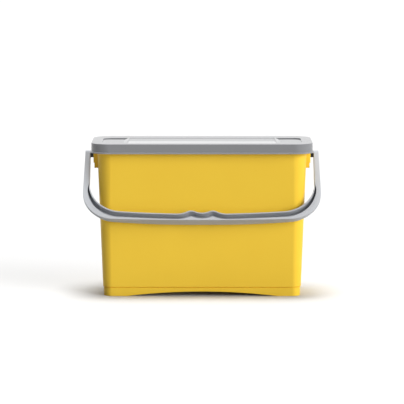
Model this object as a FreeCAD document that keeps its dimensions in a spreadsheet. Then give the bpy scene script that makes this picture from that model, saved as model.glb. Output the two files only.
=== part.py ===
# Rectangular bucket of about twelve litres with a lift-off lid and a swinging bail.
# Millimetres and degrees. X runs along the long side, -Y is the front, +Z is up.
# The origin is on the floor, in the middle of the foot.

import FreeCAD, Part
import math
import os
import Sketcher

Vector = FreeCAD.Vector

# Driving dimensions

DIMENSIONS = {
    # whole object
    "overall_height": 280.0,
    # bucket body
    "base_corner_radius": 17.0,
    "wall_taper_angle": 2.1,
    "body_wall": 2.2,
    "floor_wall": 2.5,
    "floor_fillet": 7.0,
    # foot
    "foot_height": 17.0,
    "foot_inset": 1.1,
    "foot_wall": 2.5,
    "foot_land": 42.4,
    "arch_rise": 8.5,
    # rim
    "rim_depth": 11.5,
    "rim_flange": 2.5,
    "rim_wall": 2.0,
    "rim_end_overhang": 7.85,
    "rim_side_overhang": 7.65,
    "rim_edge_break": 0.6,
    # ears that carry the pivot pins
    "ear_width": 40.0,
    "ear_wall": 2.5,
    "ear_reach": 11.8,
    "ear_corner_round": 3.0,
    "ear_step_width": 36.0,
    "ear_step_height": 9.7,
    "ear_step_back": 1.55,
    # lid
    "lid_length": 402.0,
    "lid_width": 160.0,
    "lid_corner_radius": 34.0,
    "lid_skirt_height": 17.6,
    "lid_wall": 2.2,
    "lid_top_wall": 2.5,
    "lid_edge_break": 0.5,
    "lid_gap": 0.5,
    "lip_height": 2.6,
    "lip_proud": 2.4,
    "tray_front_border": 18.0,
    "tray_back_border": 34.0,
    "tray_depth": 1.4,
    "tray_front_run": 58.0,
    "tray_back_run": 11.0,
    "recess_front_border": 31.0,
    "recess_back_border": 40.0,
    "recess_end_border": 19.5,
    "recess_length": 45.5,
    "recess_divider": 2.0,
    "recess_corner_radius": 14.0,
    "recess_depth": 1.5,
    "recess_ramp_run": 6.5,
    "locating_wall": 1.8,
    "locating_depth": 6.5,
    "locating_gap": 0.8,
    # bail
    "bail_side_gap": 1.0,
    "bail_depth": 17.5,
    "bail_rest_gap": 0.3,
    "bail_end_gap": 1.45,
    "arm_end_thickness": 8.9,
    "arm_thickness": 11.6,
    "bail_inner_radius": 60.0,
    "bail_outer_radius": 56.0,
    "bail_drop": 142.0,
    "bar_height": 13.1,
    "bar_outer_bow": 2.3,
    "bar_inner_bow": 5.3,
    "bail_edge_break": 0.5,
    # relief along the back of the outer face, which leaves a shallow rim in front
    "front_rim_depth": 6.5,
    "relief_start_drop": 0.5,
    "relief_bow": 6.3,
    "relief_radius": 62.0,
    "relief_corner_proud": 1.0,
    # channel along the bail's front face
    "web_thickness": 3.0,
    "inner_flange": 2.2,
    "outer_flange": 1.6,
    "channel_arm_flange": 1.6,
    "channel_corner_wider": 3.5,
    "channel_corner_inset": 12.0,
    "channel_corner_lift": 7.8,
    # finger humps in the middle of the bar
    "hump_offset": 19.5,
    "hump_rise": 7.0,
    "hump_dip": 4.5,
    "hump_radius": 15.0,
    "shoulder_radius": 36.0,
    "channel_hump_drop": 0.8,
    # pivot pins
    "pin_radius": 4.0,
    "pin_head_radius": 6.2,
    "pin_head_height": 2.2,
    "pin_running_gap": 0.06,
    "pin_end_play": 0.4,
    "pin_barb_proud": 0.6,
    "pin_tip_radius": 3.5,
    "pin_wall_gap": 0.8,
    "pin_slot_width": 1.4,
    "pin_slot_length": 6.5,
    # how far a cut runs past the solid
    "cut_overrun": 20.0,
}

# Where the resting bail first meets the body's front, as a share of the body's corner radius
CONTACT_SHARE = "0.9"

doc = FreeCAD.newDocument("bucket_with_lid")
sizes = doc.addObject("Spreadsheet::Sheet", "sizes")
for row, (alias, number) in enumerate(DIMENSIONS.items(), start=1):
    sizes.set("A%d" % row, alias.replace("_", " "))
    sizes.set("B%d" % row, str(number))
    sizes.setAlias("B%d" % row, alias)
doc.recompute()

# Places that several pieces share, as expressions over the sheet

SLOPE = "tan(sizes.wall_taper_angle * 1deg)"
RIM_TOP = "(sizes.overall_height - sizes.lid_top_wall)"
RIM_LENGTH = "(sizes.lid_length - 2 * sizes.lid_wall - 2 * sizes.lid_gap)"
RIM_WIDTH = "(sizes.lid_width - 2 * sizes.lid_wall - 2 * sizes.lid_gap)"
RIM_RADIUS = "(sizes.lid_corner_radius - sizes.lid_wall - sizes.lid_gap)"
WALL_SPREAD = "((%s - sizes.foot_height) * %s)" % (RIM_TOP, SLOPE)
BASE_LENGTH = "(%s - 2 * sizes.rim_end_overhang - 2 * %s)" % (RIM_LENGTH, WALL_SPREAD)
BASE_WIDTH = "(%s - 2 * sizes.rim_side_overhang - 2 * %s)" % (RIM_WIDTH, WALL_SPREAD)
TRAY_FRONT = "(sizes.tray_front_border - sizes.lid_width / 2)"
TRAY_BACK = "(sizes.lid_width / 2 - sizes.tray_back_border)"
RECESS_FRONT = "(sizes.recess_front_border - sizes.lid_width / 2)"
RECESS_BACK = "(sizes.lid_width / 2 - sizes.recess_back_border)"
RECESS_END = "(sizes.lid_length / 2 - sizes.recess_end_border)"
RECESS_START = "(%s - sizes.recess_length)" % RECESS_END
TRAY_END = "(%s - sizes.recess_divider)" % RECESS_START
PIVOT_HEIGHT = ("(sizes.overall_height - sizes.lid_skirt_height - sizes.bail_end_gap"
                " - sizes.bail_depth / 2)")
EAR_FACE = "(%s / 2)" % RIM_LENGTH
EAR_BACK = "(%s / 2 - sizes.ear_step_back - sizes.ear_wall)" % RIM_LENGTH
EAR_BOTTOM = "(%s - sizes.ear_reach)" % PIVOT_HEIGHT
STEP_BOTTOM = "(%s - sizes.ear_reach - sizes.ear_step_height)" % PIVOT_HEIGHT
ARM_INNER = "(sizes.lid_length / 2 + sizes.lip_proud + sizes.bail_side_gap)"
ARM_END_OUTER = "(%s + sizes.arm_end_thickness)" % ARM_INNER
INNER_CORNER = "(%s - sizes.bail_inner_radius)" % ARM_INNER
OUTER_SIDE = "(%s + sizes.arm_thickness)" % ARM_INNER
OUTER_CORNER = "(%s - sizes.bail_outer_radius)" % OUTER_SIDE
OUTER_CORNER_DROP = "(sizes.bail_drop - sizes.bar_outer_bow - sizes.bail_outer_radius)"
INNER_CORNER_DROP = ("(sizes.bail_drop - sizes.bar_height - sizes.bar_inner_bow"
                     " - sizes.bail_inner_radius)")
HUMP_TOP = "(sizes.bar_height - sizes.bail_drop + sizes.hump_rise)"
HUMP_VALLEY = "(%s - sizes.hump_dip)" % HUMP_TOP


def wall_growth(height):
    """How far the outside of the tapered wall has moved out at a height."""
    return "((%s - sizes.foot_height) * %s)" % (height, SLOPE)


# Helpers for the document

def value(expression):
    """The number that an expression over the sheet gives now."""
    result = sizes.evalExpression(expression)
    return float(getattr(result, "Value", result))


def origin_plane(body, role):
    return [item for item in body.Origin.OriginFeatures if item.Role == role][0]


def new_body(name):
    body = doc.addObject("PartDesign::Body", name)
    body.Label = name
    return body


def new_sketch(body, name, role, offset="0"):
    """A sketch on one of the body's own origin planes, moved along the plane's normal."""
    sketch = body.newObject("Sketcher::SketchObject", name)
    sketch.AttachmentSupport = (origin_plane(body, role), [""])
    sketch.MapMode = "FlatFace"
    sketch.AttachmentOffset = FreeCAD.Placement(Vector(0, 0, value(offset)), FreeCAD.Rotation())
    sketch.setExpression("AttachmentOffset.Base.z", offset)
    return sketch


def feature(body, kind, name, sketch, length, reversed_way=False, both_ways=False, taper=None):
    """A pad or pocket of a sketch, with its length bound to the sheet."""
    before = 0 if body.Shape.isNull() else body.Shape.Volume
    made = body.newObject("PartDesign::" + kind, name)
    made.Profile = sketch
    made.Reversed = reversed_way
    if both_ways:
        made.SideType = "Symmetric"
    made.Length = value(length)
    made.setExpression("Length", length)
    if taper:
        made.TaperAngle = value(taper)
        made.setExpression("TaperAngle", taper)
    doc.recompute()
    grown = made.Shape.Volume - before
    if (grown <= 0) == (kind == "Pad"):
        raise RuntimeError("%s changes nothing or the wrong way" % name)
    return made


def mirrored(body, name, role):
    """Adds the body's mirror image across one of its origin planes."""
    made = body.newObject("PartDesign::Mirrored", name)
    made.MirrorPlane = (origin_plane(body, role), [""])
    made.TransformMode = "Whole shape"
    body.Tip = made
    doc.recompute()
    return made


def eased(body, kind, name, size, test):
    """A Fillet or a Chamfer on the edges whose middle point passes a test."""
    base = body.Tip
    names = []
    for number, edge in enumerate(base.Shape.Edges, start=1):
        middle = edge.valueAt((edge.FirstParameter + edge.LastParameter) / 2)
        if test(edge, middle):
            names.append("Edge%d" % number)
    made = body.newObject("PartDesign::" + kind, name)
    made.Base = (base, names)
    measure = "Radius" if kind == "Fillet" else "Size"
    setattr(made, measure, value(size))
    made.setExpression(measure, size)
    doc.recompute()
    return made


def near(first, second):
    """Whether two lengths are the same to within a share of the object's height."""
    return abs(first - second) < value("sizes.overall_height") * 1e-5


def is_level(edge, height):
    box = edge.BoundBox
    return near(box.ZMin, height) and near(box.ZMax, height)


# Helpers for sketches

def bound(sketch, name, expression, *constraint):
    """Adds a constraint whose size follows an expression over the sheet."""
    index = sketch.addConstraint(Sketcher.Constraint(*constraint, value(expression)))
    sketch.renameConstraint(index, name)
    sketch.setExpression("Constraints." + name, expression)


def place_point(sketch, name, geometry, position, across, along):
    """Fixes a point by its two coordinates; a zero is held on the sketch's axis."""
    if across == "0":
        sketch.addConstraint(Sketcher.Constraint("PointOnObject", geometry, position, -2))
    else:
        bound(sketch, name + "_across", across, "DistanceX", -1, 1, geometry, position)
    if along == "0":
        sketch.addConstraint(Sketcher.Constraint("PointOnObject", geometry, position, -1))
    else:
        bound(sketch, name + "_along", along, "DistanceY", -1, 1, geometry, position)


def add_line(sketch, begin, finish):
    """A line, with its number and which of its ends comes first."""
    return sketch.addGeometry(Part.LineSegment(begin, finish), False), 1, 2


def add_arc(sketch, middle, radius, begin, finish):
    """The shorter arc between two points, with its number and which of its ends is at each point."""
    first, last = [math.atan2(point.y - middle.y, point.x - middle.x) for point in (begin, finish)]
    forward = (last - first) % (2 * math.pi) < math.pi
    if not forward:
        first, last = last, first
    ring = Part.Circle(middle, Vector(0, 0, 1), radius)
    index = sketch.addGeometry(Part.ArcOfCircle(ring, first, first + (last - first) % (2 * math.pi)), False)
    return (index, 1, 2) if forward else (index, 2, 1)


def join(sketch, kind, first, second):
    """Joins the end of one curve to the start of the next, Coincident or Tangent."""
    sketch.addConstraint(Sketcher.Constraint(kind, first[0], first[2], second[0], second[1]))


def circle(sketch, name, radius, across="0", along="0"):
    middle = Vector(value(across), value(along), 0)
    index = sketch.addGeometry(Part.Circle(middle, Vector(0, 0, 1), value(radius)), False)
    place_point(sketch, name, index, 3, across, along)
    bound(sketch, name + "_radius", radius, "Radius", index)


def polygon(sketch, name, corners):
    """A closed outline through corners given as pairs of expressions."""
    points = [Vector(value(across), value(along), 0) for across, along in corners]
    lines = [add_line(sketch, point, after) for point, after in zip(points, points[1:] + points[:1])]
    for line, after in zip(lines, lines[1:] + lines[:1]):
        join(sketch, "Coincident", line, after)
    for number, (line, (across, along)) in enumerate(zip(lines, corners)):
        place_point(sketch, "%s_%d" % (name, number), line[0], 1, across, along)


def rounded_rectangle(sketch, name, length, width, radius):
    """Four corner arcs and four lines about the sketch's origin."""
    corner = value(radius)
    half_x = value(length) / 2 - corner
    half_y = value(width) / 2 - corner
    arcs = []
    ends = []
    for side_x, side_y, start in ((1, 1, 0), (-1, 1, 90), (-1, -1, 180), (1, -1, 270)):
        middle = Vector(side_x * half_x, side_y * half_y, 0)
        angles = [math.radians(start), math.radians(start + 90)]
        begin, finish = [middle + Vector(math.cos(a), math.sin(a), 0) * corner for a in angles]
        arcs.append(add_arc(sketch, middle, corner, begin, finish))
        ends.append((begin, finish))
    for number in range(4):
        following = (number + 1) % 4
        line = add_line(sketch, ends[number][1], ends[following][0])
        join(sketch, "Tangent", arcs[number], line)
        join(sketch, "Tangent", line, arcs[following])
        direction = "Horizontal" if number % 2 == 0 else "Vertical"
        sketch.addConstraint(Sketcher.Constraint(direction, line[0]))
    first, second, third, fourth = [arc[0] for arc in arcs]
    for other in (second, third, fourth):
        sketch.addConstraint(Sketcher.Constraint("Equal", first, other))
    sketch.addConstraint(Sketcher.Constraint("Symmetric", first, 3, third, 3, -1, 1))
    bound(sketch, name + "_radius", radius, "Radius", first)
    inner_length = "%s - 2 * (%s)" % (length, radius)
    inner_width = "%s - 2 * (%s)" % (width, radius)
    bound(sketch, name + "_length", inner_length, "DistanceX", second, 3, first, 3)
    bound(sketch, name + "_width", inner_width, "DistanceY", fourth, 3, first, 3)


def rounded_end(sketch, name, side, start, end, front, back, radius):
    """A rectangle on one side of the middle, with the two corners at its far end along X rounded."""
    corner = value(radius)
    near_x, far_x, low, high = value(start) * side, value(end) * side, value(front), value(back)
    points = [
        Vector(near_x, high, 0), Vector(far_x - side * corner, high, 0),
        Vector(far_x, high - corner, 0), Vector(far_x, low + corner, 0),
        Vector(far_x - side * corner, low, 0), Vector(near_x, low, 0)]
    middles = [Vector(points[1].x, points[2].y, 0), Vector(points[1].x, points[3].y, 0)]
    chain = [
        add_line(sketch, points[0], points[1]), add_arc(sketch, middles[0], corner, points[1], points[2]),
        add_line(sketch, points[2], points[3]), add_arc(sketch, middles[1], corner, points[3], points[4]),
        add_line(sketch, points[4], points[5]), add_line(sketch, points[5], points[0])]
    for curve, after in zip(chain[:4], chain[1:5]):
        join(sketch, "Tangent", curve, after)
    join(sketch, "Coincident", chain[4], chain[5])
    join(sketch, "Coincident", chain[5], chain[0])
    across = "%d * (%s)" % (side, start)
    middle_across = "%d * (%s - (%s))" % (side, end, radius)
    for number, (curve, place, place_across, along) in enumerate((
            (chain[0], 1, across, back), (chain[4], 2, across, front),
            (chain[1], 3, middle_across, "%s - (%s)" % (back, radius)),
            (chain[3], 3, middle_across, "%s + (%s)" % (front, radius)))):
        place_point(sketch, "%s_%d" % (name, number), curve[0], place, place_across, along)
    for number in (1, 3):
        bound(sketch, "%s_radius_%d" % (name, number), radius, "Radius", chain[number][0])


# Bucket: tapered wall, set-in foot with an arch front and back, turned-down rim and two hollow ears

def make_bucket():
    bucket = new_body("bucket")

    wall = new_sketch(bucket, "wall_outline", "XY_Plane", "sizes.foot_height")
    rounded_rectangle(wall, "wall", BASE_LENGTH, BASE_WIDTH, "sizes.base_corner_radius")
    feature(bucket, "Pad", "wall", wall, RIM_TOP + " - sizes.foot_height", taper="sizes.wall_taper_angle")

    foot = new_sketch(bucket, "foot_outline", "XY_Plane", "sizes.foot_height")
    rounded_rectangle(foot, "foot", "(%s - 2 * sizes.foot_inset)" % BASE_LENGTH,
                      "(%s - 2 * sizes.foot_inset)" % BASE_WIDTH,
                      "(sizes.base_corner_radius - sizes.foot_inset)")
    feature(bucket, "Pad", "foot", foot, "sizes.foot_height", reversed_way=True,
            taper="-sizes.wall_taper_angle")

    flange = new_sketch(bucket, "flange_outline", "XY_Plane", RIM_TOP)
    rounded_rectangle(flange, "flange", RIM_LENGTH, RIM_WIDTH, RIM_RADIUS)
    feature(bucket, "Pad", "flange", flange, "sizes.rim_flange", reversed_way=True)
    rim_top = value(RIM_TOP)
    eased(bucket, "Chamfer", "rim_edge", "sizes.rim_edge_break", lambda edge, middle: is_level(edge, rim_top))
    turned_edge = new_sketch(bucket, "turned_edge_outline", "XY_Plane", RIM_TOP + " - sizes.rim_flange")
    rounded_rectangle(turned_edge, "outer", RIM_LENGTH, RIM_WIDTH, RIM_RADIUS)
    rounded_rectangle(turned_edge, "inner", "(%s - 2 * sizes.rim_wall)" % RIM_LENGTH,
                      "(%s - 2 * sizes.rim_wall)" % RIM_WIDTH, "(%s - sizes.rim_wall)" % RIM_RADIUS)
    feature(bucket, "Pad", "turned_edge", turned_edge, "sizes.rim_depth - sizes.rim_flange",
            reversed_way=True)

    add_ears(bucket)

    cavity_bottom = "(sizes.foot_height + sizes.floor_wall)"
    growth = wall_growth(cavity_bottom)
    cavity = new_sketch(bucket, "cavity_outline", "XY_Plane", cavity_bottom)
    rounded_rectangle(cavity, "cavity", "(%s + 2 * %s - 2 * sizes.body_wall)" % (BASE_LENGTH, growth),
                      "(%s + 2 * %s - 2 * sizes.body_wall)" % (BASE_WIDTH, growth),
                      "(sizes.base_corner_radius + %s - sizes.body_wall)" % growth)
    feature(bucket, "Pocket", "cavity", cavity, "%s - %s + sizes.cut_overrun" % (RIM_TOP, cavity_bottom),
            reversed_way=True, taper="sizes.wall_taper_angle")

    hollow_ears(bucket)

    hollow = new_sketch(bucket, "foot_hollow_outline", "XY_Plane")
    inset = "(sizes.foot_inset + sizes.foot_wall + sizes.foot_height * %s)" % SLOPE
    rounded_rectangle(hollow, "hollow", "(%s - 2 * %s)" % (BASE_LENGTH, inset),
                      "(%s - 2 * %s)" % (BASE_WIDTH, inset), "(sizes.base_corner_radius - %s)" % inset)
    feature(bucket, "Pocket", "foot_hollow", hollow, "sizes.foot_height", reversed_way=True)

    add_arch(bucket)

    floor = value(cavity_bottom)
    eased(bucket, "Fillet", "floor_corner", "sizes.floor_fillet", lambda edge, middle: is_level(edge, floor))
    return bucket


def add_ears(bucket):
    """Solid blocks under the rim at both ends, wide above and narrower and lower below."""
    levels = (
        ("ear", "sizes.ear_width", EAR_FACE, EAR_BOTTOM),
        ("ear_step", "sizes.ear_step_width", "(%s - sizes.ear_step_back)" % EAR_FACE, STEP_BOTTOM))
    for name, width, face, bottom in levels:
        block = new_sketch(bucket, name + "_outline", "XY_Plane", RIM_TOP + " - sizes.rim_flange")
        for side, sign in (("right", 1), ("left", -1)):
            rounded_end(block, side, sign, "(%s / 2)" % BASE_LENGTH, face, "(-%s / 2)" % width,
                        "(%s / 2)" % width, "sizes.ear_corner_round")
        feature(bucket, "Pad", name, block, "%s - sizes.rim_flange - %s" % (RIM_TOP, bottom),
                reversed_way=True)


def hollow_ears(bucket):
    """Opens each ear from below, between its plate and the wall, and bores the plate for the pin."""
    top = RIM_TOP + " - sizes.rim_flange"
    bottom = STEP_BOTTOM + " - sizes.cut_overrun"
    hollow = new_sketch(bucket, "ear_hollow_outline", "XZ_Plane")
    for side, sign in (("right", ""), ("left", "-")):
        polygon(hollow, side, (
            (sign + EAR_BACK, bottom), (sign + EAR_BACK, top),
            ("%s(%s / 2 + %s)" % (sign, BASE_LENGTH, wall_growth("(%s)" % top)), top),
            ("%s(%s / 2 + %s)" % (sign, BASE_LENGTH, wall_growth("(%s)" % bottom)), bottom)))
    feature(bucket, "Pocket", "ear_hollow", hollow, "sizes.ear_step_width - 2 * sizes.ear_wall",
            both_ways=True)
    for side, sign in (("right", ""), ("left", "-")):
        bore = new_sketch(bucket, "bore_outline_" + side, "YZ_Plane", sign + EAR_FACE)
        circle(bore, "bore", "sizes.pin_radius + sizes.pin_running_gap", "0", PIVOT_HEIGHT)
        feature(bucket, "Pocket", "bore_" + side, bore,
                "sizes.ear_step_back + sizes.ear_wall + sizes.pin_end_play", reversed_way=side == "left")


def add_arch(bucket):
    """Cuts the low arch through the foot from front to back."""
    half_length = "(%s / 2 - sizes.foot_land)" % BASE_LENGTH
    reach = value(half_length)
    rise = value("sizes.arch_rise")
    radius = (reach ** 2 + rise ** 2) / (2 * rise)
    below = -value("sizes.cut_overrun")
    arch = new_sketch(bucket, "arch_outline", "XZ_Plane")
    corners = [Vector(reach, 0, 0), Vector(-reach, 0, 0), Vector(-reach, below, 0), Vector(reach, below, 0)]
    chain = [add_arc(arch, Vector(0, rise - radius, 0), radius, corners[0], corners[1])]
    chain += [add_line(arch, point, after) for point, after in zip(corners[1:], corners[2:] + corners[:1])]
    for curve, after in zip(chain, chain[1:] + chain[:1]):
        join(arch, "Coincident", curve, after)
    place_point(arch, "end", chain[0][0], chain[0][1], half_length, "0")
    place_point(arch, "start", chain[0][0], chain[0][2], "-" + half_length, "0")
    place_point(arch, "low_start", chain[2][0], 1, "-" + half_length, "-sizes.cut_overrun")
    place_point(arch, "low_end", chain[2][0], 2, half_length, "-sizes.cut_overrun")
    bound(arch, "radius", "(%s ^ 2 + sizes.arch_rise ^ 2) / (2 * sizes.arch_rise)" % half_length,
          "Radius", chain[0][0])
    feature(bucket, "Pocket", "arch", arch, "sizes.lid_width + 2 * sizes.cut_overrun", both_ways=True)


# Lid: flat border, sloping tray, a recess at each end, skirt with a proud lip, ring inside the mouth

def make_lid():
    lid = new_body("lid")
    top = value("sizes.overall_height")
    skirt_bottom = "(sizes.overall_height - sizes.lid_skirt_height)"

    skirt = new_sketch(lid, "skirt_outline", "XY_Plane", "sizes.overall_height")
    rounded_rectangle(skirt, "skirt", "sizes.lid_length", "sizes.lid_width", "sizes.lid_corner_radius")
    feature(lid, "Pad", "skirt", skirt, "sizes.lid_skirt_height", reversed_way=True)
    eased(lid, "Chamfer", "top_edge", "sizes.lid_edge_break", lambda edge, middle: is_level(edge, top))
    lip = new_sketch(lid, "lip_outline", "XY_Plane", skirt_bottom)
    rounded_rectangle(lip, "lip", "(sizes.lid_length + 2 * sizes.lip_proud)",
                      "(sizes.lid_width + 2 * sizes.lip_proud)",
                      "(sizes.lid_corner_radius + sizes.lip_proud)")
    feature(lid, "Pad", "lip", lip, "sizes.lip_height")

    hollow = new_sketch(lid, "hollow_outline", "XY_Plane", skirt_bottom)
    rounded_rectangle(hollow, "hollow", "(sizes.lid_length - 2 * sizes.lid_wall)",
                      "(sizes.lid_width - 2 * sizes.lid_wall)",
                      "(sizes.lid_corner_radius - sizes.lid_wall)")
    feature(lid, "Pocket", "hollow", hollow, "sizes.lid_skirt_height - sizes.lid_top_wall",
            reversed_way=True)

    mouth = "(%s - sizes.body_wall - sizes.locating_gap)" % wall_growth(
        "(%s - sizes.locating_depth)" % RIM_TOP)
    ring = new_sketch(lid, "locating_ring_outline", "XY_Plane", RIM_TOP)
    for name, inset in (("outer", "0"), ("inner", "sizes.locating_wall")):
        rounded_rectangle(ring, name, "(%s + 2 * %s - 2 * %s)" % (BASE_LENGTH, mouth, inset),
                          "(%s + 2 * %s - 2 * %s)" % (BASE_WIDTH, mouth, inset),
                          "(sizes.base_corner_radius + %s - %s)" % (mouth, inset))
    feature(lid, "Pad", "locating_ring", ring, "sizes.locating_depth", reversed_way=True)

    add_tray(lid)
    return lid


def tray_profile(sketch, level):
    """The tray's section across Y below a level: a long slope in front, a level floor, a short slope."""
    polygon(sketch, "tray", (
        (TRAY_BACK, level),
        (TRAY_FRONT, level),
        (TRAY_FRONT + " + sizes.tray_front_run", level + " - sizes.tray_depth"),
        (TRAY_BACK + " - sizes.tray_back_run", level + " - sizes.tray_depth")))


def add_tray(lid):
    """Sinks the tray and the end recesses, with the top's wall carried round them below."""
    below = new_sketch(lid, "tray_underside", "YZ_Plane")
    tray_profile(below, RIM_TOP)
    feature(lid, "Pad", "tray_under", below, "2 * (%s + sizes.lid_top_wall)" % TRAY_END, both_ways=True)
    under = new_sketch(lid, "recess_underside", "XY_Plane", RIM_TOP)
    for name, side in (("right", 1), ("left", -1)):
        rounded_end(under, name, side, TRAY_END, "(%s + sizes.lid_top_wall)" % RECESS_END,
                    "(%s - sizes.lid_top_wall)" % RECESS_FRONT, "(%s + sizes.lid_top_wall)" % RECESS_BACK,
                    "(sizes.recess_corner_radius + sizes.lid_top_wall)")
    feature(lid, "Pad", "recess_under", under, "sizes.recess_depth", reversed_way=True)

    tray = new_sketch(lid, "tray_outline", "YZ_Plane")
    tray_profile(tray, "sizes.overall_height")
    feature(lid, "Pocket", "tray", tray, "2 * " + TRAY_END, both_ways=True)
    recess = new_sketch(lid, "recess_outline", "XY_Plane", "sizes.overall_height")
    for name, side in (("right", 1), ("left", -1)):
        rounded_end(recess, name, side, RECESS_START, RECESS_END, RECESS_FRONT, RECESS_BACK,
                    "sizes.recess_corner_radius")
    feature(lid, "Pocket", "recess", recess, "sizes.recess_depth")
    ramp = new_sketch(lid, "ramp_outline", "XZ_Plane")
    floor = "(sizes.overall_height - sizes.recess_depth)"
    for name, sign in (("right", ""), ("left", "-")):
        polygon(ramp, name, (
            (sign + RECESS_START, floor),
            ("%s(%s + sizes.recess_ramp_run)" % (sign, RECESS_START), floor),
            (sign + RECESS_START, "sizes.overall_height")))
    feature(lid, "Pad", "ramp", ramp, "-2 * " + RECESS_FRONT, both_ways=True)


# Bail: a U of tangent arcs with a deep channel in its front face and two finger humps in its bar

def lean_angle():
    """How far the resting bail leans forward from upright, its inner edge just off the body's front."""
    front = "((%s / 2 + %s) * cos(sizes.wall_taper_angle * 1deg))" % (BASE_WIDTH, wall_growth(PIVOT_HEIGHT))
    contact = "(%s / 2 - %s * sizes.base_corner_radius)" % (BASE_LENGTH, CONTACT_SHARE)
    reach = "(%s + sqrt(sizes.bail_inner_radius ^ 2 - (%s - %s + sizes.bail_inner_radius) ^ 2))" % (
        INNER_CORNER_DROP, contact, ARM_INNER)
    diagonal = "sqrt(%s ^ 2 + (sizes.bail_depth / 2) ^ 2)" % reach
    return ("asin((%s + sizes.bail_rest_gap) / %s) + atan(sizes.bail_depth / 2 / %s)"
            " - sizes.wall_taper_angle * 1deg" % (front, diagonal, reach))


def lean_with_bail(body):
    """Puts a body that was drawn upright about the pivot line in the resting bail's place."""
    body.Placement = FreeCAD.Placement(
        Vector(0, 0, value(PIVOT_HEIGHT)), FreeCAD.Rotation(Vector(-1, 0, 0), value(lean_angle())))
    body.setExpression("Placement.Base.z", PIVOT_HEIGHT)
    body.setExpression("Placement.Rotation.Angle", lean_angle())
    doc.recompute()


def touching_point(first, second):
    """Where two touching circles meet. Each is (middle, radius), minus where it bends the other way."""
    return first[0] + (second[0] - first[0]) * (first[1] / (first[1] - second[1]))


def bow_circle(corner, drop):
    """The large circle about the middle plane that passes the drop and touches the corner's circle."""
    middle, radius = corner
    depth = value(drop) - radius
    height = (depth ** 2 - middle.x ** 2 - middle.y ** 2) / (2 * (depth + middle.y))
    return Vector(0, -height, 0), value(drop) - height


def bow_radius(corner_across, corner_drop, corner_radius, drop):
    """The same circle's radius as an expression over the sheet."""
    depth = "(%s - %s)" % (drop, corner_radius)
    return "(%s - (%s ^ 2 - %s ^ 2 - %s ^ 2) / (2 * (%s - %s)))" % (
        drop, depth, corner_across, corner_drop, depth, corner_drop)


def hump_circles(bow, inset):
    """Valley, hump and shoulder circles of the finger grip, a given distance inside its surface."""
    depth = value(inset)
    dip = value("sizes.hump_dip")
    offset = value("sizes.hump_offset")
    valley_radius = (offset ** 2 + dip ** 2) / (2 * dip) - value("sizes.hump_radius")
    peak = value(HUMP_TOP)
    valley = (Vector(0, peak - dip + valley_radius, 0), valley_radius + depth)
    hump = (Vector(offset, peak - value("sizes.hump_radius"), 0), depth - value("sizes.hump_radius"))
    shoulder_radius = value("sizes.shoulder_radius") + depth
    reach = bow[1] - shoulder_radius
    span = shoulder_radius - hump[1]
    between = hump[0] - bow[0]
    along = (between.Length ** 2 + reach ** 2 - span ** 2) / (2 * between.Length)
    beside = math.sqrt(reach ** 2 - along ** 2)
    direction = between / between.Length
    middle = bow[0] + direction * along + Vector(-direction.y, direction.x, 0) * beside
    return valley, hump, (middle, shoulder_radius)


def add_grip_edge(sketch, name, across, drop, radius, bow_drop, inset):
    """Valley, hump, shoulder, bow and corner arcs from the middle out to the corner's widest point."""
    corner = (Vector(value(across), -value(drop), 0), value(radius))
    bow = bow_circle(corner, bow_drop)
    circles = list(hump_circles(bow, inset)) + [bow, corner]
    valley = circles[0]
    points = [Vector(0, valley[0].y - valley[1], 0)]
    points += [touching_point(first, second) for first, second in zip(circles, circles[1:])]
    points.append(corner[0] + Vector(corner[1], 0, 0))
    chain = [add_arc(sketch, middle, abs(size), begin, finish)
             for (middle, size), begin, finish in zip(circles, points, points[1:])]
    for curve, after in zip(chain, chain[1:]):
        join(sketch, "Tangent", curve, after)
    place_point(sketch, name + "_valley", chain[0][0], chain[0][1], "0", "%s - (%s)" % (HUMP_VALLEY, inset))
    sketch.addConstraint(Sketcher.Constraint("PointOnObject", chain[0][0], 3, -2))
    place_point(sketch, name + "_hump", chain[1][0], 3, "sizes.hump_offset", HUMP_TOP + " - sizes.hump_radius")
    bound(sketch, name + "_hump_radius", "sizes.hump_radius - (%s)" % inset, "Radius", chain[1][0])
    bound(sketch, name + "_shoulder_radius", "sizes.shoulder_radius + %s" % inset, "Radius", chain[2][0])
    sketch.addConstraint(Sketcher.Constraint("PointOnObject", chain[3][0], 3, -2))
    bound(sketch, name + "_bow_radius", bow_radius(across, drop, radius, bow_drop), "Radius", chain[3][0])
    place_point(sketch, name + "_corner", chain[4][0], 3, across, "-" + drop)
    bound(sketch, name + "_corner_radius", radius, "Radius", chain[4][0])
    return chain, points, circles


def add_outer_edge(sketch, name, across, drop, radius, bow_drop, finish):
    """Bow and corner arcs from the middle out to the point where the arm's side leaves the corner."""
    corner = (Vector(value(across), -value(drop), 0), value(radius))
    bow = bow_circle(corner, bow_drop)
    points = [Vector(0, -value(bow_drop), 0), touching_point(bow, corner), finish]
    chain = [add_arc(sketch, bow[0], bow[1], points[0], points[1]),
             add_arc(sketch, corner[0], corner[1], points[1], points[2])]
    join(sketch, "Tangent", chain[0], chain[1])
    sketch.addConstraint(Sketcher.Constraint("PointOnObject", chain[0][0], 3, -2))
    place_point(sketch, name + "_low", chain[0][0], chain[0][1], "0", "-(%s)" % bow_drop)
    place_point(sketch, name + "_corner", chain[1][0], 3, across, "-" + drop)
    bound(sketch, name + "_corner_radius", radius, "Radius", chain[1][0])
    return chain, points, [bow, corner]


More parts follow.
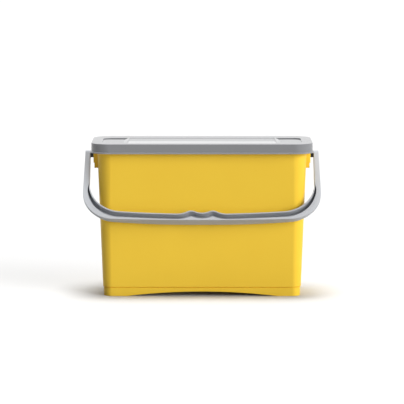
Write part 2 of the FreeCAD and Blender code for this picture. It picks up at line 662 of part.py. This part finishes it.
def make_bail():
    bail = new_body("bail")
    half_depth = value("sizes.bail_depth / 2")

    outline = new_sketch(bail, "outline", "XZ_Plane")
    inner, inner_points, inner_circles = add_grip_edge(
        outline, "inner", INNER_CORNER, INNER_CORNER_DROP, "sizes.bail_inner_radius",
        "(sizes.bail_drop - sizes.bar_height)", "0")
    arm_top = [Vector(value(ARM_INNER), half_depth, 0), Vector(value(ARM_END_OUTER), half_depth, 0)]
    corner = Vector(value(OUTER_CORNER), -value(OUTER_CORNER_DROP), 0)
    radius = value("sizes.bail_outer_radius")
    away = arm_top[1] - corner
    angle = math.atan2(away.y, away.x) - math.acos(radius / away.Length)
    arm_foot = corner + Vector(math.cos(angle), math.sin(angle), 0) * radius
    outer, outer_points, outer_circles = add_outer_edge(
        outline, "outer", OUTER_CORNER, OUTER_CORNER_DROP, "sizes.bail_outer_radius",
        "sizes.bail_drop", arm_foot)
    rest = [add_line(outline, begin, finish) for begin, finish in (
        (inner_points[-1], arm_top[0]), (arm_top[0], arm_top[1]), (arm_top[1], arm_foot),
        (outer_points[0], inner_points[0]))]
    join(outline, "Tangent", inner[-1], rest[0])
    join(outline, "Coincident", rest[0], rest[1])
    join(outline, "Coincident", rest[1], rest[2])
    outline.addConstraint(Sketcher.Constraint("Tangent", rest[2][0], 2, outer[-1][0], outer[-1][2]))
    outline.addConstraint(Sketcher.Constraint("Coincident", rest[3][0], 1, outer[0][0], outer[0][1]))
    outline.addConstraint(Sketcher.Constraint("Coincident", rest[3][0], 2, inner[0][0], inner[0][1]))
    place_point(outline, "arm_inner", rest[1][0], 1, ARM_INNER, "sizes.bail_depth / 2")
    place_point(outline, "arm_outer", rest[1][0], 2, ARM_END_OUTER, "sizes.bail_depth / 2")
    feature(bail, "Pad", "half", outline, "sizes.bail_depth", both_ways=True)

    def on_face(edge):
        return near(abs(edge.BoundBox.YMin), half_depth) and near(edge.BoundBox.YMin, edge.BoundBox.YMax)

    def on_circles(middle, circles):
        flat = Vector(middle.x, middle.z, 0)
        return any(near((flat - point).Length, abs(size)) for point, size in circles)

    def is_long(edge, middle):
        on_inner_arm = near(middle.x, value(ARM_INNER)) and middle.z > inner_points[-1].y
        on_outer_arm = middle.x > value(ARM_END_OUTER) and middle.z > arm_foot.y
        on_arm = (on_inner_arm or on_outer_arm) and not is_level(edge, half_depth)
        return on_face(edge) and (on_arm or on_circles(middle, inner_circles + outer_circles))

    eased(bail, "Chamfer", "long_edges", "sizes.bail_edge_break", is_long)

    cut_channel(bail)
    cut_relief(bail)
    shape_arm_end(bail)
    mirrored(bail, "both_arms", "YZ_Plane")
    lean_with_bail(bail)
    return bail


def cut_channel(bail):
    """A channel in the front, which starts as a point on the arm and follows the humps."""
    channel = new_sketch(bail, "channel_outline", "XZ_Plane", "sizes.bail_depth / 2")
    upper, upper_points, _ = add_grip_edge(
        channel, "upper", "(%s + sizes.channel_arm_flange)" % INNER_CORNER,
        "(%s + sizes.inner_flange)" % INNER_CORNER_DROP, "sizes.bail_inner_radius",
        "(sizes.bail_drop - sizes.bar_height + sizes.inner_flange)", "sizes.inner_flange")
    lower, lower_points, _ = add_grip_edge(
        channel, "lower", "(%s - sizes.channel_corner_inset)" % OUTER_CORNER,
        "(%s - sizes.channel_corner_lift)" % OUTER_CORNER_DROP,
        "(sizes.bail_outer_radius + sizes.channel_corner_wider)",
        "(sizes.bail_drop - sizes.outer_flange)",
        "(sizes.bar_height - sizes.outer_flange + sizes.channel_hump_drop)")
    start = add_line(channel, upper_points[-1], lower_points[-1])
    middle = add_line(channel, lower_points[0], upper_points[0])
    for curve, place, other in ((start, 1, upper[-1]), (start, 2, lower[-1])):
        channel.addConstraint(Sketcher.Constraint("Coincident", curve[0], place, other[0], other[2]))
        channel.addConstraint(Sketcher.Constraint("Horizontal", other[0], other[2], other[0], 3))
    for curve, place, other in ((middle, 1, lower[0]), (middle, 2, upper[0])):
        channel.addConstraint(Sketcher.Constraint("Coincident", curve[0], place, other[0], other[1]))
    feature(bail, "Pocket", "channel", channel, "sizes.bail_depth - sizes.web_thickness")


def cut_relief(bail):
    """Sets the outer face in behind the front rim, from beside the grip round to the arm."""
    plane = "(sizes.bail_depth / 2 - sizes.front_rim_depth)"
    relief = new_sketch(bail, "relief_outline", "XZ_Plane", plane)
    across = "(%s + sizes.relief_corner_proud - sizes.relief_radius)" % OUTER_SIDE
    bow_drop = "(sizes.bail_drop + sizes.relief_start_drop)"
    drop = "(%s - sizes.relief_bow - sizes.relief_radius)" % bow_drop
    wide = "(%s + sizes.cut_overrun)" % OUTER_SIDE
    low = "-(sizes.bail_drop + sizes.cut_overrun)"
    side = Vector(value(across) + value("sizes.relief_radius"), -value(drop), 0)
    edge, points, _ = add_outer_edge(
        relief, "relief", across, drop, "sizes.relief_radius", bow_drop, side)
    corners = [side, Vector(value(wide), side.y, 0), Vector(value(wide), value(low), 0),
               Vector(0, value(low), 0), points[0]]
    lines = [add_line(relief, begin, finish) for begin, finish in zip(corners, corners[1:])]
    for curve, after in zip([edge[1]] + lines, lines + [edge[0]]):
        join(relief, "Coincident", curve, after)
    relief.addConstraint(Sketcher.Constraint("Horizontal", lines[0][0]))
    relief.addConstraint(Sketcher.Constraint("Horizontal", edge[1][0], edge[1][2], edge[1][0], 3))
    place_point(relief, "wide", lines[1][0], 2, wide, low)
    place_point(relief, "middle", lines[2][0], 2, "0", low)
    relief.addConstraint(Sketcher.Constraint("Vertical", lines[1][0]))
    feature(bail, "Pocket", "relief", relief, "sizes.bail_depth")


def shape_arm_end(bail):
    """Rounds the arm's end about the pivot line, bores it for the pin and sinks a seat for its head."""
    radius = value("sizes.bail_depth / 2")
    overrun = value("sizes.cut_overrun")
    end = new_sketch(bail, "arm_end_outline", "YZ_Plane", ARM_INNER)
    points = [Vector(radius, 0, 0), Vector(radius + overrun, 0, 0),
              Vector(radius + overrun, radius + overrun, 0), Vector(-radius - overrun, radius + overrun, 0),
              Vector(-radius - overrun, 0, 0), Vector(-radius, 0, 0), Vector(0, radius, 0)]
    chain = [add_line(end, begin, finish) for begin, finish in zip(points[:5], points[1:6])]
    chain.append(add_arc(end, Vector(0, 0, 0), radius, points[5], points[6]))
    chain.append(add_arc(end, Vector(0, 0, 0), radius, points[6], points[0]))
    for curve, after in zip(chain, chain[1:] + chain[:1]):
        join(end, "Coincident", curve, after)
    wide = "(sizes.bail_depth / 2 + sizes.cut_overrun)"
    places = (("sizes.bail_depth / 2", "0"), (wide, "0"), (wide, wide), ("-" + wide, wide), ("-" + wide, "0"),
              ("-sizes.bail_depth / 2", "0"), ("0", "sizes.bail_depth / 2"))
    for number, (curve, (across, along)) in enumerate(zip(chain, places)):
        place_point(end, "end_%d" % number, curve[0], curve[1], across, along)
    for curve in chain[5:]:
        end.addConstraint(Sketcher.Constraint("PointOnObject", curve[0], 3, -2))
    feature(bail, "Pocket", "arm_end", end, "sizes.arm_thickness + sizes.cut_overrun", reversed_way=True)

    hole = new_sketch(bail, "pin_hole_outline", "YZ_Plane", ARM_END_OUTER + " + sizes.cut_overrun")
    circle(hole, "hole", "sizes.pin_radius")
    feature(bail, "Pocket", "pin_hole", hole, "sizes.arm_thickness + 2 * sizes.cut_overrun")
    seat = new_sketch(bail, "pin_seat_outline", "YZ_Plane", ARM_END_OUTER + " + sizes.cut_overrun")
    circle(seat, "seat", "sizes.pin_head_radius + sizes.pin_running_gap")
    feature(bail, "Pocket", "pin_seat", seat, "sizes.pin_head_height + sizes.cut_overrun")


# Pivot pins: a flush head in the bail's arm, a shank through the ear's plate and a slotted barb behind it

def make_pin(name, sign):
    pin = new_body(name)
    behind = "(%s - sizes.pin_end_play)" % EAR_BACK
    tip = "(%s / 2 + %s + sizes.pin_wall_gap)" % (BASE_LENGTH, wall_growth(PIVOT_HEIGHT))
    head = "(%s - sizes.pin_head_height)" % ARM_END_OUTER
    barb = "(sizes.pin_radius + sizes.pin_barb_proud)"
    section = new_sketch(pin, "section", "XZ_Plane")
    polygon(section, "section", [(sign + across, along) for across, along in (
        (tip, "0"), (tip, "sizes.pin_tip_radius"), (behind, barb), (behind, "sizes.pin_radius"),
        (head, "sizes.pin_radius"),
        (head, "sizes.pin_head_radius"), (ARM_END_OUTER, "sizes.pin_head_radius"), (ARM_END_OUTER, "0"))])
    turned = pin.newObject("PartDesign::Revolution", "turned")
    turned.Profile = section
    turned.ReferenceAxis = (section, ["H_Axis"])
    turned.Angle = 360
    doc.recompute()
    slot = new_sketch(pin, "slot_outline", "XZ_Plane")
    end = "(%s - sizes.cut_overrun)" % tip
    bottom = "(%s + sizes.pin_slot_length)" % tip
    polygon(slot, "slot", [(sign + across, along) for across, along in (
        (end, "-sizes.pin_slot_width / 2"), (bottom, "-sizes.pin_slot_width / 2"),
        (bottom, "sizes.pin_slot_width / 2"), (end, "sizes.pin_slot_width / 2"))])
    feature(pin, "Pocket", "slot", slot, "4 * sizes.pin_radius", both_ways=True)
    lean_with_bail(pin)
    return pin


pieces = [
    make_bucket(),
    make_lid(),
    make_bail(),
    make_pin("pivot_pin_right", ""),
    make_pin("pivot_pin_left", "-"),
]
doc.recompute()

# Every feature and every solid is sound before anything is written

for item in doc.Objects:
    if "Invalid" in item.State or "Error" in item.State:
        raise RuntimeError("%s failed: %s" % (item.Label, item.State))
for piece in pieces:
    shape = piece.Shape
    if shape.isNull() or not shape.isValid() or len(shape.Solids) != 1:
        raise RuntimeError("%s is not one sound solid" % piece.Label)

os.makedirs("parts", exist_ok=True)
for piece in pieces:
    piece.Shape.exportStep("parts/%s.step" % piece.Label)
    box = piece.Shape.BoundBox
    print("%s: %.1f cm3, X %.2f to %.2f, Y %.2f to %.2f, Z %.2f to %.2f" % (
        piece.Label, piece.Shape.Volume / 1000, box.XMin, box.XMax, box.YMin, box.YMax, box.ZMin, box.ZMax))
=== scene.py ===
import math

import bmesh
import bpy
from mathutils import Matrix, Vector


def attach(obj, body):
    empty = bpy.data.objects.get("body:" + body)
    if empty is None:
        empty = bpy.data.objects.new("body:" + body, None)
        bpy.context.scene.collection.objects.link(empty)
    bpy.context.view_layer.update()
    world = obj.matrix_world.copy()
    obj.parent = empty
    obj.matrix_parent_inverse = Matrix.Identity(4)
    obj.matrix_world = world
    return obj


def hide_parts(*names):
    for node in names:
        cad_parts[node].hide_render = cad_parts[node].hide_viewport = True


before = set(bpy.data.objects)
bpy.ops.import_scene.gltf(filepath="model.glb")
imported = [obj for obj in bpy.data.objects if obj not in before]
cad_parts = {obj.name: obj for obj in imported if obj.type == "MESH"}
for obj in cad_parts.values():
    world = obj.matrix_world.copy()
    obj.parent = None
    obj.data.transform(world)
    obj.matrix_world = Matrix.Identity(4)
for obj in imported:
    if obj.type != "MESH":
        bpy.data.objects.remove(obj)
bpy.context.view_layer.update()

# Rectangular bucket, lid and bail in satin polypropylene, on a white floor in plain studio light.
# Metres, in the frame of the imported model: X along the long side, -Y the front, +Z up.

# Colours as linear red, green and blue

YELLOW = (0.93, 0.622, 0.054)
YELLOW_DEEP = (0.90, 0.580, 0.049)
LID_GREY = (0.226, 0.230, 0.239)
LID_GREY_DEEP = (0.214, 0.218, 0.227)
BAIL_GREY = (0.416, 0.429, 0.453)
BAIL_GREY_DEEP = (0.393, 0.406, 0.430)
PIN_GREY = (0.045, 0.046, 0.050)
PIN_GREY_DEEP = (0.035, 0.036, 0.040)
FLOOR_WHITE = (0.620, 0.620, 0.620)
FLOOR_BOUNCE = (0.33, 0.33, 0.33)
WHITE = (1.0, 1.0, 1.0)

# What all the plastics share: the flow variation, the sheen that follows it, the grain and the gloss

FLOW_SCALE = 9.0
FLOW_DETAIL = 3.0
FLOW_ROUGHNESS = 0.55
SHEEN_FLOW_LOW = 0.3
SHEEN_FLOW_HIGH = 0.7
SHEEN_SWING = 0.03
GRAIN_DETAIL = 2.0
GRAIN_STRENGTH = 0.35
PLASTIC_IOR = 1.48
FULL_GLOSS = 0.5

# Light levels, with 1 the level at which a colour renders as it is written

AMBIENT = 0.13
TOP_LEVEL = 1.25
TOP_FROM = Vector((0.0, 0.02, 1.0))
TOP_SPREAD = math.radians(31)
KEY_LEVEL = 1.21
KEY_FROM = Vector((0.82, -0.56, 0.22))
KEY_SPREAD = math.radians(50)
BACK_LEVEL = 0.22
BACK_FROM = Vector((0.05, 1.0, 0.22))
BACK_SPREAD = math.radians(60)

# The backdrop as gloss sees it, by the upward part of a ray's direction

BACKDROP_LOW = 0.045
BACKDROP_HIGH = 0.105
BACKDROP_LOW_LEVEL = 1.15
BACKDROP_HIGH_LEVEL = 0.88

# Camera, and half the side of the square floor

CAMERA_PLACE = Vector((0.0, -4.2895, 0.6983))
CAMERA_PITCH = math.radians(7.08)
FOCAL_PIXELS = 2350.0
FRAME_PIXELS = 404.0
SENSOR = 36.0
FLOOR_HALF = 60.0

# Points nearer than this are one point

SAME_PLACE = 0.00001

# Shadow line where the foot meets the wall: its two edges above the floor, and its depth

LINE_TOP = 0.0168
LINE_BOTTOM = 0.0152
LINE_DEPTH = 0.0014

# The lip round the bottom of the lid: its upper level, the rounding of its edge in flat steps, and the
# angle from which on an edge there is its outer edge

LIP_TOP = 0.2650
LIP_ROUND = 0.0019
LIP_STEPS = 4
CIRCULAR = 0.5
CONVEX = math.radians(60)

# An edge is sharp from this angle on, and always between faces that look up, which are all flat

SHARP_FROM = math.radians(32)
LOOKS_UP = 0.97


# Materials

def node_adder(tree):
    """A function that adds a node to the tree, with its settings, values and links."""
    def add(kind, inputs=(), **settings):
        node = tree.nodes.new("ShaderNode" + kind)
        for setting, chosen in settings.items():
            setattr(node, setting, chosen)
        for socket, source in dict(inputs).items():
            if isinstance(source, bpy.types.NodeSocket):
                tree.links.new(source, node.inputs[socket])
            else:
                node.inputs[socket].default_value = source
        return node

    return add


def new_material(name):
    """A material with its tree, its principled shader, and a function that adds a node to it."""
    material = bpy.data.materials.new(name)
    material.use_nodes = True
    tree = material.node_tree
    return material, tree, tree.nodes["Principled BSDF"], node_adder(tree)


def rgba(colour):
    return (*colour, 1.0)


def satin_plastic(name, colour, deep_colour, roughness, grain_size, grain_depth, gloss=FULL_GLOSS):
    """Moulded plastic: a faint flow variation, a fine spark-eroded grain and an uneven sheen."""
    material, tree, shader, add = new_material(name)
    place = add("TexCoord").outputs["Object"]
    flow = add("TexNoise", {"Vector": place, "Scale": FLOW_SCALE, "Detail": FLOW_DETAIL,
                            "Roughness": FLOW_ROUGHNESS})
    tint = add("Mix", {0: flow.outputs["Fac"], "A": rgba(colour), "B": rgba(deep_colour)}, data_type="RGBA")
    grain = add("TexNoise", {"Vector": place, "Scale": 1.0 / grain_size, "Detail": GRAIN_DETAIL})
    bump = add("Bump", {"Strength": GRAIN_STRENGTH, "Distance": grain_depth, "Height": grain.outputs["Fac"]})
    sheen = add("MapRange", {"Value": flow.outputs["Fac"],
                             "From Min": SHEEN_FLOW_LOW, "From Max": SHEEN_FLOW_HIGH,
                             "To Min": roughness - SHEEN_SWING, "To Max": roughness + SHEEN_SWING})
    tree.links.new(tint.outputs["Result"], shader.inputs["Base Color"])
    tree.links.new(bump.outputs["Normal"], shader.inputs["Normal"])
    tree.links.new(sheen.outputs["Result"], shader.inputs["Roughness"])
    shader.inputs["IOR"].default_value = PLASTIC_IOR
    shader.inputs["Specular IOR Level"].default_value = gloss
    return material


def studio_floor():
    """Bright to the camera and to gloss, and darker in the light that it throws back on the object."""
    material, tree, shader, add = new_material("studio_floor")
    rays = add("LightPath").outputs
    bright = add("Math", {0: rays["Is Camera Ray"], 1: rays["Is Glossy Ray"]}, operation="MAXIMUM")
    colour = add("Mix", {0: bright.outputs["Value"], "A": rgba(FLOOR_BOUNCE), "B": rgba(FLOOR_WHITE)},
                 data_type="RGBA")
    tree.links.new(colour.outputs["Result"], shader.inputs["Base Color"])
    shader.inputs["Roughness"].default_value = 1.0
    shader.inputs["Specular IOR Level"].default_value = 0.0
    return material


yellow = satin_plastic("yellow_polypropylene", YELLOW, YELLOW_DEEP,
                       roughness=0.38, grain_size=0.0011, grain_depth=0.00005, gloss=0.20)
lid_grey = satin_plastic("lid_polypropylene", LID_GREY, LID_GREY_DEEP,
                         roughness=0.08, grain_size=0.0011, grain_depth=0.000004)
bail_grey = satin_plastic("bail_polypropylene", BAIL_GREY, BAIL_GREY_DEEP,
                          roughness=0.36, grain_size=0.0010, grain_depth=0.00005)
# The pivot pins in near-black all over
pin_grey = satin_plastic("near_black_pin", PIN_GREY, PIN_GREY_DEEP,
                         roughness=0.40, grain_size=0.0008, grain_depth=0.00003)

FINISHES = {"bucket": yellow, "lid": lid_grey, "bail": bail_grey,
            "pivot_pin_right": pin_grey, "pivot_pin_left": pin_grey}

for name, material in FINISHES.items():
    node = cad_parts[name]
    node.data.materials.clear()
    node.data.materials.append(material)


# Objects

def add_object(name, data):
    """A new object of this data, in the scene."""
    added = bpy.data.objects.new(name, data)
    bpy.context.scene.collection.objects.link(added)
    return added


def mesh_data(mesh, name, material):
    """The built mesh as the data of an object, in one material."""
    data = bpy.data.meshes.new(name)
    mesh.to_mesh(data)
    mesh.free()
    data.materials.append(material)
    return data


# Finished pieces

def merged_copy(name):
    """The solid's own surface as one connected mesh."""
    mesh = bmesh.new()
    mesh.from_mesh(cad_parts[name].data)
    bmesh.ops.remove_doubles(mesh, verts=mesh.verts, dist=SAME_PLACE)
    return mesh


def cut_level(mesh, height):
    """Edges all round at this height."""
    bmesh.ops.bisect_plane(mesh, geom=mesh.verts[:] + mesh.edges[:] + mesh.faces[:], dist=SAME_PLACE,
                           plane_co=(0.0, 0.0, height), plane_no=(0.0, 0.0, 1.0))


def finish_piece(mesh, name, node, material):
    """A shown piece that stands for the solid and moves with its body."""
    for face in mesh.faces:
        face.smooth = True
    mesh.normal_update()
    for edge in mesh.edges:
        level = all(face.normal.z > LOOKS_UP for face in edge.link_faces)
        edge.smooth = edge.calc_face_angle(0.0) < SHARP_FROM and not level
    piece = add_object(name, mesh_data(mesh, name, material))
    shading = piece.modifiers.new("flat_faces_stay_flat", "WEIGHTED_NORMAL")
    shading.mode = "FACE_AREA"
    shading.keep_sharp = True
    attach(piece, node)
    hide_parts(node)


def make_bucket():
    """The bucket with a narrow line set in all round, between the foot and the wall."""
    mesh = merged_copy("bucket")
    middle = (LINE_TOP + LINE_BOTTOM) / 2
    for height in (LINE_TOP, middle, LINE_BOTTOM):
        cut_level(mesh, height)
    mesh.normal_update()
    for vert in mesh.verts:
        outwards = Vector((vert.normal.x, vert.normal.y, 0.0))
        if abs(vert.co.z - middle) < SAME_PLACE and outwards.dot(vert.co) > 0.0:
            vert.co -= outwards.normalized() * LINE_DEPTH
    finish_piece(mesh, "bucket_moulding", "bucket", yellow)


def make_lid():
    """The lid with the upper edge of its lip rounded, as it leaves the mould."""
    mesh = merged_copy("lid")
    lip_edge = [edge for edge in mesh.edges
                if all(abs(vert.co.z - LIP_TOP) < SAME_PLACE for vert in edge.verts)
                and edge.calc_face_angle_signed(0.0) > CONVEX]
    bmesh.ops.bevel(mesh, geom=lip_edge, offset=LIP_ROUND, offset_type="OFFSET", segments=LIP_STEPS,
                    profile=CIRCULAR, affect="EDGES", clamp_overlap=True, material=-1)
    finish_piece(mesh, "lid_moulding", "lid", lid_grey)


make_bucket()
make_lid()


# Studio

def make_floor():
    """A floor too wide for its edge to show."""
    mesh = bmesh.new()
    bmesh.ops.create_grid(mesh, x_segments=1, y_segments=1, size=FLOOR_HALF)
    floor = add_object("floor", mesh_data(mesh, "floor", studio_floor()))


def make_world():
    """White to the camera, a backdrop that is brighter near the floor to gloss, and dim as light."""
    world = bpy.data.worlds.new("studio")
    world.use_nodes = True
    tree = world.node_tree
    add = node_adder(tree)
    background = tree.nodes["Background"]
    rays = add("LightPath").outputs
    direction = add("SeparateXYZ", {"Vector": add("TexCoord").outputs["Generated"]})
    backdrop = add("MapRange", {"Value": direction.outputs["Z"],
                                "From Min": BACKDROP_LOW, "From Max": BACKDROP_HIGH,
                                "To Min": BACKDROP_LOW_LEVEL, "To Max": BACKDROP_HIGH_LEVEL})
    glossy = add("Mix", {0: rays["Is Glossy Ray"], "A": AMBIENT, "B": backdrop.outputs["Result"]})
    level = add("Mix", {0: rays["Is Camera Ray"], "A": glossy.outputs["Result"], "B": 1.0})
    tree.links.new(level.outputs["Result"], background.inputs["Strength"])
    background.inputs["Color"].default_value = rgba(WHITE)
    bpy.context.scene.world = world


def make_light(name, level, towards, spread):
    """A far, broad, soft source that gives a surface square to it this level, and no glare in gloss."""
    lamp = bpy.data.lights.new(name, "SUN")
    lamp.energy = level * math.pi
    lamp.angle = spread
    light = add_object(name, lamp)
    light.rotation_euler = towards.to_track_quat("Z", "Y").to_euler()
    light.visible_glossy = False


def make_camera():
    """The camera in front, level from side to side, that looks down by its pitch."""
    lens = bpy.data.cameras.new("camera")
    lens.sensor_width = SENSOR
    lens.lens = FOCAL_PIXELS / FRAME_PIXELS * SENSOR
    lens.clip_end = 4 * FLOOR_HALF
    camera = add_object("camera", lens)
    camera.location = CAMERA_PLACE
    camera.rotation_euler = (math.pi / 2 - CAMERA_PITCH, 0.0, 0.0)
    bpy.context.scene.camera = camera


make_floor()
make_world()
make_light("top_light", TOP_LEVEL, TOP_FROM, TOP_SPREAD)
make_light("key_light", KEY_LEVEL, KEY_FROM, KEY_SPREAD)
make_light("back_light", BACK_LEVEL, BACK_FROM, BACK_SPREAD)
make_camera()
bpy.context.scene.view_settings.view_transform = "Standard"
